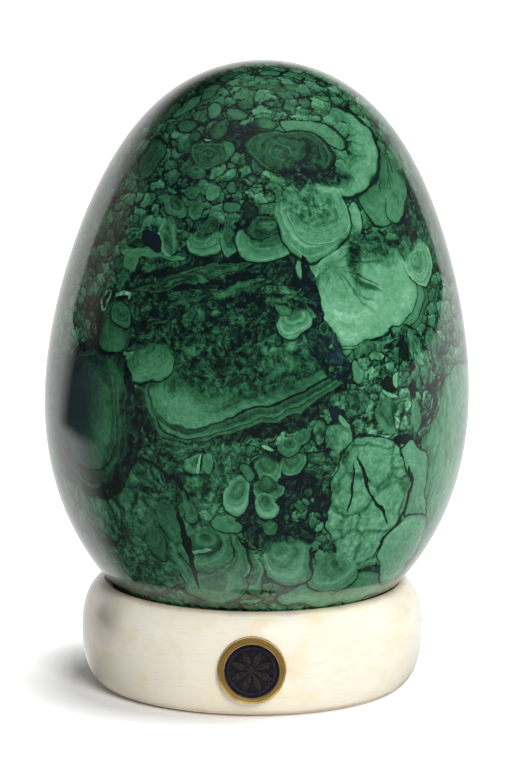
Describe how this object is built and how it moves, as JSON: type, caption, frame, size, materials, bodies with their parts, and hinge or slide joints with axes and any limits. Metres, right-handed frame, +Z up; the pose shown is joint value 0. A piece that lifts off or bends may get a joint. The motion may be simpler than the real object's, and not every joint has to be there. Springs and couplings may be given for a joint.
{
  "type": "decorative egg on stand",
  "caption": "Polished banded green stone egg resting in a low cream stone ring stand, with a round gilt-rimmed dark badge set in the front of the stand.",
  "frame": {"origin": "centre of the stand's base, on the table top", "axes": "+Z up along the stand's axis, -Y towards the viewer through the badge, +X to the viewer's right"},
  "size_m": [0.0849, 0.085, 0.126],
  "materials": {
    "green_stone": "polished",
    "cream_stone": "polished",
    "black_felt": "matte",
    "green_felt": "matte",
    "gilt_brass": "polished",
    "raw_brass": "satin",
    "navy_enamel": "gloss",
    "dull_metal": "satin"
  },
  "bodies": {
    "stand": {"stand_ring": "cream_stone", "base_pad": "green_felt", "badge_cup": "gilt_brass", "badge_post": "raw_brass", "badge_disc": "navy_enamel", "badge_motif": "dull_metal"},
    "seat": {"seat_washer": "black_felt"},
    "egg": {"egg": "green_stone"}
  },
  "joints": [
    {"name": "seat_turn", "type": "hinge", "parent": "stand", "child": "seat", "pos_m": [0, 0, 0.0167], "axis": [0, 0, 1], "continuous": true},
    {"name": "egg_lift", "type": "slide", "parent": "seat", "child": "egg", "axis": [0, 0, 1], "range_m": [0, 0.06]}
  ]
}
